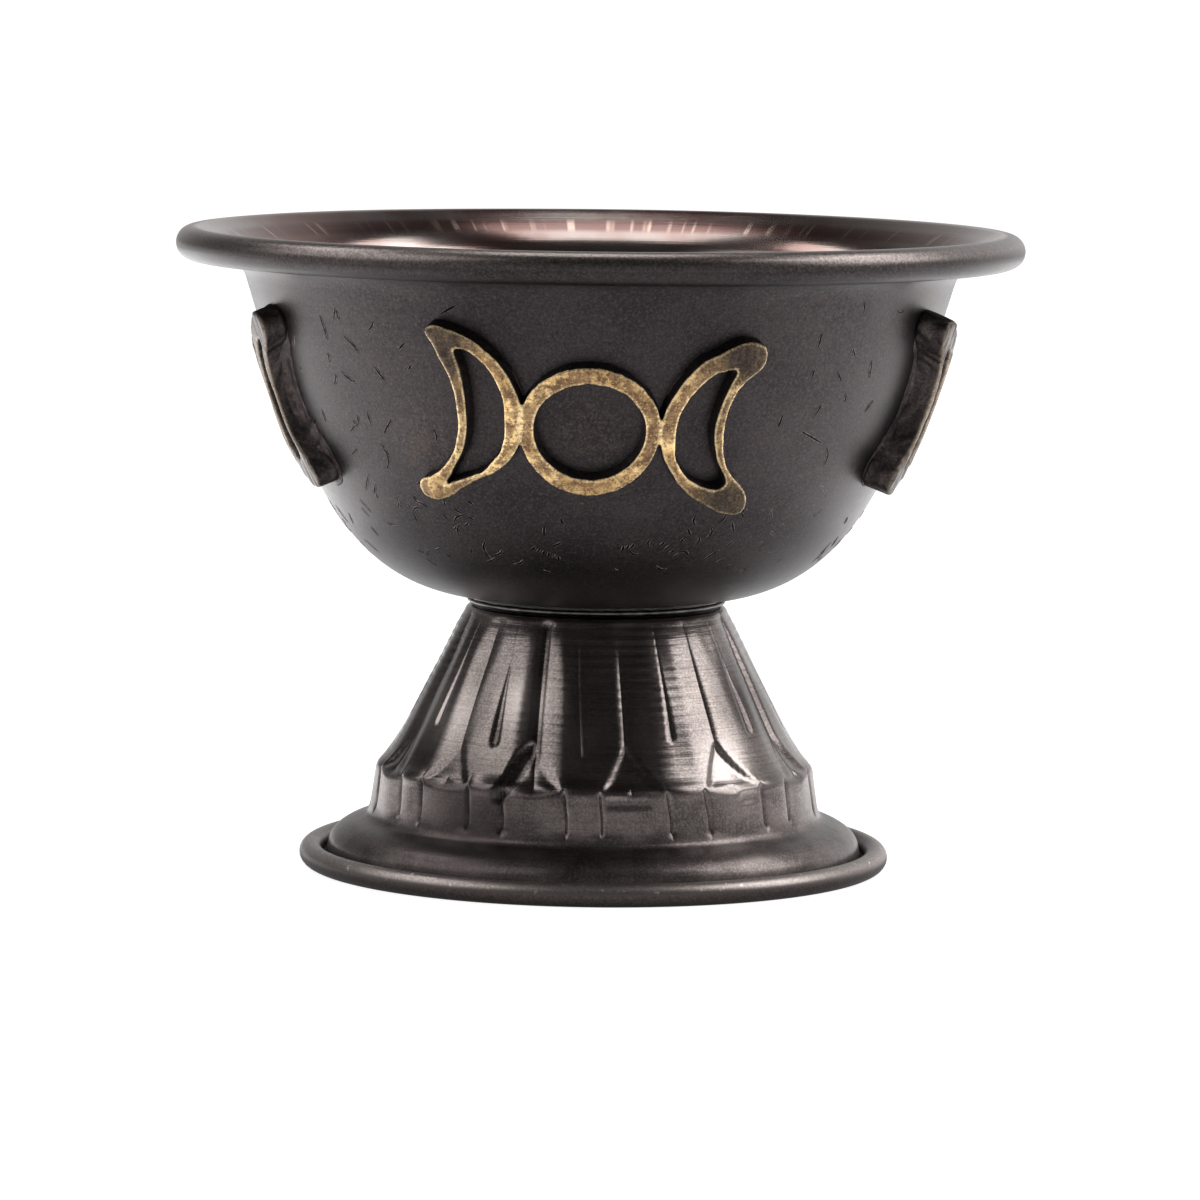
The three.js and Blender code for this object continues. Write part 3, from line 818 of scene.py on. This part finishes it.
# Badges: four brass castings from one mould, each a full moon between two crescents. Each was bent to the
# wall, its face was filed by hand, and the brown was rubbed off its edges until the brass showed.
badge_depth = 21.25
badge_middle = bowl_high.z - badge_depth
badge_face = 2.5
badge_back = -0.12
cast_grain = 0.17
bright_edge = 0.34
badge_outlines = {
    "left_crescent": [
        (-18.25, 12), (-17.35, 12.5), (-15.4, 12.1), (-13.2, 11.1), (-11.3, 9.6), (-9.7, 7.7),
        (-8.6, 5.4), (-7.9, 3), (-7.9, 0.7), (-8.3, -1.4), (-9, -2.9), (-10.1, -4.2), (-11.7, -5.4),
        (-14.4, -6.5), (-16.8, -7.8), (-19.1, -9), (-20.9, -9.3), (-22.2, -8.8), (-22.7, -7.8),
        (-22.4, -7), (-20.7, -6.3), (-19.1, -5.5), (-17.7, -4.2), (-16.6, -2.7), (-15.8, -0.6),
        (-15.5, 2), (-15.6, 4.5), (-16.05, 6.4), (-16.8, 8.3), (-17.6, 10.3),
    ],
    "left_window": [
        (-15, 9.7), (-13.4, 9.5), (-11.9, 8.1), (-10.7, 6.2), (-10, 3.9), (-10, 1.1), (-10.2, -1.2),
        (-10.9, -2.9), (-12.05, -4.2), (-13.4, -5.4), (-14.8, -6), (-17.15, -6.75), (-18.9, -7.3),
        (-17.9, -6.1), (-16.8, -4.6), (-15.6, -2.9), (-14.8, -0.8), (-14.4, 2), (-14.4, 4.9),
        (-14.7, 7.5),
    ],
    "right_crescent": [
        (19.7, 9.2), (19.3, 10.3), (18.3, 10.8), (17.15, 11), (16, 10.6), (14.2, 9.6), (12.4, 8.6),
        (10.9, 6.9), (9.6, 4.9), (8.7, 3), (8.2, 1.1), (8.2, -1.2), (8.8, -3.1), (9.9, -5.05),
        (11.3, -6.9), (13, -8.3), (15.2, -9.5), (17.15, -10.4), (19.1, -10.7), (20.3, -10.4),
        (20.7, -9.4), (20.3, -8.2), (19.3, -6.9), (18.1, -5.9), (16.95, -4.6), (16.2, -2.9), (15.8, -0.8),
        (15.8, 1.1), (16.1, 3), (16.65, 4.7), (17.5, 6), (18.7, 7.1), (19.5, 8.1),
    ],
    "right_window": [
        (16.3, 7.5), (14.6, 7.4), (13, 6.4), (11.7, 4.9), (10.6, 3), (10, 0.9), (10, -1.4), (10.4, -3.6),
        (11.3, -5.05), (12.4, -6.1), (14, -6.9), (16, -7.3), (17.1, -6.75), (16.8, -5.7), (15.8, -4.2),
        (15, -2.3), (14.6, -0.2), (14.8, 2), (15.2, 3.9), (15.8, 5.8),
    ],
}
moon_outer = (8.22, 7.95)
moon_inner = (6.5, 5.95)
moon_centre = (-0.1, -0.1)


def closed(points, spacing=0.35):
    """A smooth closed line through points."""
    points = np.array(points, float)
    count = len(points)
    wrapped = np.concatenate([points[-3:], points, points[:4]])
    knots = along(wrapped)
    line = through(wrapped, spacing)
    reached = along(line)
    share = reached / reached[-1] * knots[-1]
    return line[(share >= knots[3]) & (share < knots[3 + count] - spacing / 2)]


def oval(radii, steps=90):
    turns = np.linspace(0, 2 * math.pi, steps, endpoint=False)
    return np.array(moon_centre) + np.column_stack([radii[0] * np.cos(turns), radii[1] * np.sin(turns)])


def slab(name, lines):
    """A flat slab with these closed edges, the first outside and the rest windows, in millimetres."""
    flat = bpy.data.curves.new(name, "CURVE")
    flat.dimensions = "2D"
    flat.fill_mode = "BOTH"
    flat.extrude = (badge_face - badge_back) / 2
    for line in lines:
        edge = flat.splines.new("POLY")
        edge.points.add(len(line) - 1)
        edge.points.foreach_set("co", np.column_stack([line, 0 * line[:, :1], 1 + 0 * line[:, :1]]).ravel())
        edge.use_cyclic_u = True
    return bpy.data.objects.new(name, flat)


def vectors(mesh, kind):
    """A vector of each vertex of a mesh, such as its normal."""
    values = np.zeros(len(mesh.vertices) * 3, np.float32)
    mesh.vertices.foreach_get(kind, values)
    return values.reshape(-1, 3)


def plain_mesh(thing):
    """The evaluated mesh of an object, which is then removed."""
    scene.collection.objects.link(thing)
    evaluated = thing.evaluated_get(bpy.context.evaluated_depsgraph_get())
    mesh = bpy.data.meshes.new_from_object(evaluated)
    bpy.data.objects.remove(thing)
    return mesh


crescents = {side: closed(badge_outlines[f"{side}_crescent"]) for side in ("left", "right")}
windows = {side: closed(badge_outlines[f"{side}_window"]) for side in ("left", "right")}
slabs = [slab("moon", [oval(moon_outer), oval(moon_inner)])]
slabs += [slab(side, [crescents[side], windows[side]]) for side in ("left", "right")]
vertices, polygons = [], []
for part in slabs:
    mesh = plain_mesh(part)
    first = len(vertices)
    vertices += [tuple(vertex.co) for vertex in mesh.vertices]
    polygons += [tuple(first + index for index in polygon.vertices) for polygon in mesh.polygons]
mould_mesh = bpy.data.meshes.new("mould")
mould_mesh.from_pydata(vertices, [], polygons)
mould = bpy.data.objects.new("mould", mould_mesh)
remesh = mould.modifiers.new("one_casting", "REMESH")
remesh.mode = "VOXEL"
remesh.voxel_size = cast_grain
worn = mould.modifiers.new("tumbled_edges", "SMOOTH")
worn.factor = 0.5
worn.iterations = 9
casting = plain_mesh(mould)
cast_points = vectors(casting, "co").astype(float)
cast_points[:, 2] += (badge_face + badge_back) / 2
cast_normals = vectors(casting, "normal")

middle_length = np.interp(badge_middle, wall_rise[:, 1], wall_length)
face_radius = np.interp(badge_middle, wall_rise[:, 1], wall_rise[:, 0]) + badge_face

# How far inside the outline a point of the face lies, for the wear along the edges.
edges = np.concatenate([*crescents.values(), *windows.values(), oval(moon_outer), oval(moon_inner)])
inset = np.full(len(cast_points), math.inf)
at_once = 60
for start in range(0, len(edges), at_once):
    gaps = np.linalg.norm(cast_points[:, None, :2] - edges[None, start:start + at_once], axis=2)
    inset = np.minimum(inset, gaps.min(axis=1))
facing = step(badge_face - 0.9, badge_face - 0.2, cast_points[:, 2]) * step(0.1, 0.6, cast_normals[:, 2])
# The brown was left on the horns, and least of all on the lower left one.
horn = step(10, 15.5, np.abs(cast_points[:, 0])) * step(2, 8, np.abs(cast_points[:, 1]))
horn = np.maximum(horn, 0.5 * step(12.5, 14.5, np.abs(cast_points[:, 0])))
horn *= np.where((cast_points[:, 0] < 0) & (cast_points[:, 1] < -3), 0.3, 1)

brass = Finish(bpy.data.materials.new("worn_brass"))
face, rim, tip, wear = (brass.mark(name) for name in ("face", "rim", "tip", "wear"))
blotch = patches(brass, 1.6, detail=5, seed=0.3, roughness=0.7)
pits = patches(brass, 0.42, detail=5, seed=1.1, roughness=0.75)
flattened = brass.node("ShaderNodeMapping", inputs={"Vector": brass.place(), "Scale": (0.12, 0.12, 1)})
filed = brass.node("ShaderNodeTexNoise", inputs={"Vector": flattened, "Scale": 4500.0, "Detail": 2})
patina = pits.rise(0.3, 0.7).blend((50, 45, 45), (84, 76, 73))
patina = (blotch.rise(0.5, 0.7) * 0.5).blend(patina, (38, 35, 35))
broad = patches(brass, 3.4, detail=3, seed=5.2)
glint = patches(brass, 0.24, detail=3, seed=7.7, roughness=0.7)
long = patches(brass, 2.4, detail=4, seed=9.4, roughness=0.6)
unfiled = pits.rise(0.4, 0.6).blend((56, 48, 44), (36, 31, 29))
rubbed = over(
    broad.rise(0.38, 0.6).blend((172, 140, 94), (236, 200, 142)),
    (blotch.rise(0.48, 0.6) * 0.8, (84, 61, 45)),
    (pits.rise(0.5, 0.66), (76, 56, 44)),
    ((1 - rim) * long.rise(0.42, 0.58) * 0.75, (98, 72, 56)),
    (filed.rise(0.5, 0.68) * 0.5, (96, 74, 54)),
    (glint.rise(0.56, 0.68) * 0.45, (240, 210, 156)),
    (tip * 0.95, (glint.rise(0.56, 0.7) * 0.4).blend(unfiled, (104, 88, 72))),
)
edge = rim * (0.25 + pits.rise(0.6, 0.42) * 0.75) * (1 - tip * 0.35)
bright = edge.blend(rubbed, (240, 214, 166))
dulled = edge.blend(patina, (118, 108, 99))
skin_colour = face.blend(patina, wear.blend(dulled, bright))
rough = (1 - face) * 0.5 + face * (0.34 + 0.2 * pits - 0.06 * rim)
relief = 0.12 * blotch * (1.2 - face) + 0.05 * pits + 0.004 * filed * face
worn_brass = shader(brass, relief, skin_colour, rough, metal=0.9)

# Each badge: its azimuth, how far its middle is above the drawn place, its tilt, how far it was rubbed, how
# much of its thickness was left when its back had been filed, how far from the wall its ends stand off, as a
# share of a flat one, and how uneven the casting is in millimetres. The two at the sides were bent less than
# the wall, and are rougher castings.
badges = {
    "front": (-1.4, 0.6, 0, 1.0, 0.7, 0.0, 0.038),
    "right": (93.0, 1.1, 175, 0.15, 0.9, 0.3, 0.075),
    "back": (178.6, 0.9, 2, 0.8, 0.75, 0.1, 0.05),
    "left": (-92.2, 1.3, 3, 0.12, 0.62, 0.27, 0.07),
}


def bent(side, x, y, heights):
    """Points of a badge on the wall, from where they lie on the mould and how high off the wall they are."""
    azimuth, rise, tilt, _, left_over, *_ = badges[side]
    turned = (x + 1j * y) * np.exp(1j * math.radians(tilt))
    turns = math.radians(azimuth) + turned.real / (face_radius - badge_face * (1 - left_over))
    return on_wall(turns, middle_length + rise + turned.imag, heights)


x, y, z = cast_points.T
for number, (side, (*_, rub, left_over, straight, coarse)) in enumerate(badges.items()):
    lumps = uneven(x * 0.45 + z * 0.3, y * 1.2 + z * 1.5, seed=40 + number, waves=12)
    lumps += 0.7 * uneven(x * 1.1 + z * 0.5 + 2, y * 2.5 + z * 3, seed=60 + number, waves=12)
    flare = 5 * coarse * np.clip(1 - z / badge_face, 0, 1) ** 1.5
    lumpy = cast_points + cast_normals * (coarse * lumps[:, None])
    lumpy[:, :2] += cast_normals[:, :2] * flare[:, None]
    share = left_over + straight * lumpy[:, 0] ** 2 / (2 * face_radius * badge_face)
    heights = share * np.minimum(lumpy[:, 2], badge_face + 0.05)
    on_bowl = bent(side, lumpy[:, 0], lumpy[:, 1], heights)
    mesh = casting.copy()
    mesh.name = f"cast_badge_{side}"
    mesh.vertices.foreach_set("co", (on_bowl * MM).astype(np.float32).ravel())
    carry(mesh, face=facing, rim=step(bright_edge, 0.05, inset), tip=horn, wear=rub + 0 * inset)
    mesh.shade_smooth()
    mesh.materials.clear()
    mesh.materials.append(worn_brass)
    badge = new_object(mesh.name, mesh)
    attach(badge, "root")
    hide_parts(f"triple_moon_{side}")


# Badge solder: a film of soft solder under the ring of each moon holds the badge to the wall. Round the two
# side badges it was laid on thickly, ran down into the corner with the wall, and was browned with the bowl.
solder_inner, solder_outer = 6.7, 7.8
solder_high = 0.25
solder_sunk = 0.1
# Each seam: how far it runs out on the wall, and how high it climbs up the casting.
seams = {"front": (0.25, 0.12), "right": (1.0, 1.3), "back": (0.4, 0.3), "left": (1.9, 1.2)}
# The section of a seam, from under the casting, up its side and out on the wall, as shares of those two.
seam_section = np.array([
    (-0.3, -0.2), (-0.3, 1), (0.04, 0.75), (0.18, 0.42), (0.4, 0.2), (0.7, 0.08), (1.05, 0), (0.9, -0.2),
])
# How far out on the wall each point of the section is, as the material reads it.
seam_spread = (0, 0, 0, 0.1, 0.45, 0.8, 1, 1)


def outward(line, reach=4):
    """The unit way out of a closed line at each of its points, smoothed over a few points to each side."""
    way = np.roll(line, -reach, axis=0) - np.roll(line, reach, axis=0)
    way /= np.linalg.norm(way, axis=1)[:, None]
    area = np.sum(line[:, 0] * np.roll(line[:, 1], -1) - np.roll(line[:, 0], -1) * line[:, 1])
    return np.column_stack([way[:, 1], -way[:, 0]]) * np.sign(area)


# Low on the castings the brown wore off the seams in specks, and on the wall they are as dark as the bowl.
browned = Finish(bpy.data.materials.new("browned_solder"))
dull = patches(browned, 1.4, detail=4, seed=5.5, roughness=0.65)
speck = patches(browned, 0.5, detail=4, seed=2.7, roughness=0.7)
foul = climb(browned, 54, 45)
spread = browned.mark("spread")
dark_tin = dull.rise(0.35, 0.7).blend((34, 30, 31), (58, 52, 50))
dark_tin = (speck.rise(0.54, 0.68) * (0.1 + 0.9 * foul)).blend(dark_tin, (150, 134, 116))
thin_tin = speck.rise(0.4, 0.7).blend((42, 37, 39), (64, 57, 58))
dark_tin = spread.rise(0.3, 0.95).blend(dark_tin, thin_tin)
seam_relief = (1 - 0.8 * spread) * (0.09 * dull + 0.05 * speck * foul)
seam_solder = shader(browned, seam_relief, dark_tin, 0.32 + 0.15 * dull)
around = np.linspace(0, 2 * math.pi, 72, endpoint=False)[None, :]
reach = np.array([solder_inner, solder_inner, solder_outer, solder_outer])[:, None]
film_high = np.array([-solder_sunk, solder_high, solder_high, -solder_sunk])[:, None] + 0 * around
for number, (side, (azimuth, rise, tilt, *_)) in enumerate(badges.items()):
    turns = math.radians(azimuth) + reach * np.cos(around) / face_radius
    lengths = middle_length + rise + reach * np.sin(around)
    film = loops(f"badge_solder_{side}", [on_wall(turns, lengths, film_high)])
    film.data.materials.append(solder)
    seam_width, seam_height = seams[side]
    seam_rows = []
    for line in (*crescents.values(), oval(moon_outer)):
        lumps = uneven(line[:, 0] * 0.5, line[:, 1] * 1.6, seed=80 + number, waves=12)
        upward = line[:, 1] * math.cos(math.radians(tilt))
        low = step(0, -7, upward)
        ends = 1 - 0.85 * step(5.5, 8.5, upward) - 0.6 * step(-5.5, -8.5, upward)
        wide = seam_width * np.maximum(1 + 0.2 * lumps + 0.4 * low, 0.3) * ends
        high = seam_height * np.maximum(1 + 0.2 * lumps + 0.3 * low, 0.3) * ends
        seam = line[None, :, :] + (seam_section[:, :1] * wide)[:, :, None] * outward(line)[None, :, :]
        seam_rows.append(bent(side, seam[..., 0], seam[..., 1], seam_section[:, 1:] * high))
    seam = loops(f"solder_seam_{side}", seam_rows)
    carry(seam.data, spread=np.concatenate([np.repeat(seam_spread, rows.shape[1]) for rows in seam_rows]))
    seam.data.materials.append(seam_solder)
    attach(seam, "root")
    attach(film, "root")
    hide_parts(f"moon_solder_{side}")
